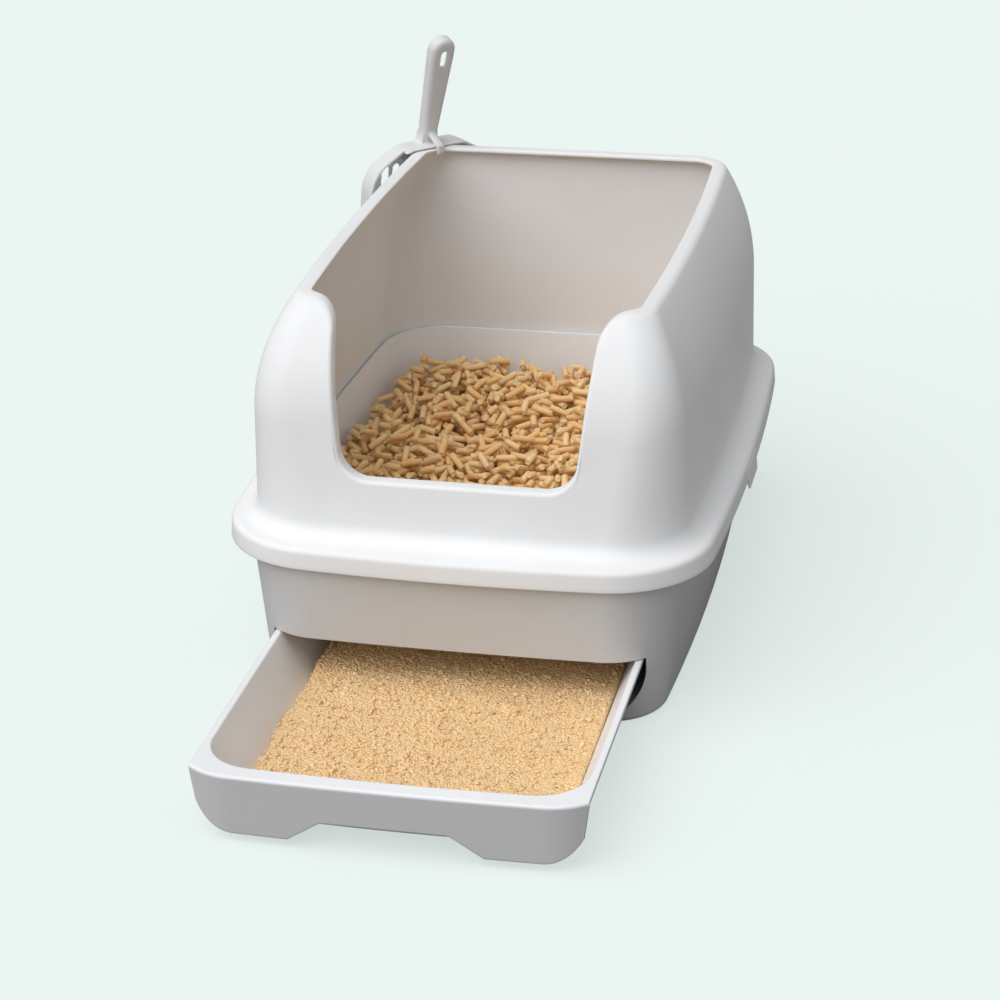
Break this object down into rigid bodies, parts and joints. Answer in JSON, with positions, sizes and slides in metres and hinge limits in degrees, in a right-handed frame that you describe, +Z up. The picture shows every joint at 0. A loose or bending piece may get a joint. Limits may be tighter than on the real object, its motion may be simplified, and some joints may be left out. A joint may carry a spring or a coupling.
{
  "type": "drawer litter box",
  "caption": "Open-top litter box with a cut-out entrance: a hood over a base tub, a sieve tray of wood pellets, a pull-out sawdust drawer, side latches and a hanging scoop.",
  "frame": {"origin": "on the floor, under the middle of the whole box as it stands with its drawer pulled out", "axes": "+Z up from the floor, -Y out through the entrance and the drawer's front, +X to the right as the entrance faces the viewer; the box is mirrored about X = 0"},
  "size_m": [0.4454, 0.864, 0.4636],
  "materials": {
    "grey_shell": "satin moulded",
    "grey_drawer": "satin moulded",
    "grey_tray": "satin moulded",
    "white_shell": "satin moulded",
    "white_latch": "satin moulded",
    "white_scoop": "satin moulded",
    "pin": "plain wire",
    "foot_rubber": "matt",
    "pellets": "pressed wood pellets",
    "sawdust": "loose sawdust"
  },
  "bodies": {
    "base": {"base_tub": "grey_shell", "foot_front_left": "foot_rubber", "foot_front_right": "foot_rubber", "foot_rear_left": "foot_rubber", "foot_rear_right": "foot_rubber"},
    "drawer": {"drawer": "grey_drawer", "sawdust": "sawdust"},
    "tray": {"sieve_tray": "grey_tray", "litter_pellets": "pellets"},
    "hood": {"hood": "white_shell", "latch_pin_left": "pin", "latch_pin_right": "pin"},
    "latch_left": {"latch_left": "white_latch"},
    "latch_right": {"latch_right": "white_latch"},
    "scoop": {"scoop": "white_scoop"}
  },
  "joints": [
    {"name": "drawer_slide", "type": "slide", "parent": "base", "child": "drawer", "axis": [0, -1, 0], "range_m": [-0.241, 0.15]},
    {"name": "tray_lift", "type": "slide", "parent": "base", "child": "tray", "axis": [0, 0, 1], "range_m": [0, 0.2]},
    {"name": "hood_lift", "type": "slide", "parent": "tray", "child": "hood", "axis": [0, 0, 1], "range_m": [0, 0.25]},
    {"name": "latch_left_hinge", "type": "hinge", "parent": "hood", "child": "latch_left", "pos_m": [-0.2191, 0.07931, 0.1443], "axis": [0, 1, 0], "range_deg": [-5, 90]},
    {"name": "latch_right_hinge", "type": "hinge", "parent": "hood", "child": "latch_right", "pos_m": [0.2191, 0.07931, 0.1443], "axis": [0, -1, 0], "range_deg": [-5, 90]},
    {"name": "scoop_lift", "type": "slide", "parent": "hood", "child": "scoop", "axis": [0, 0, 1], "range_m": [0, 0.2]}
  ]
}
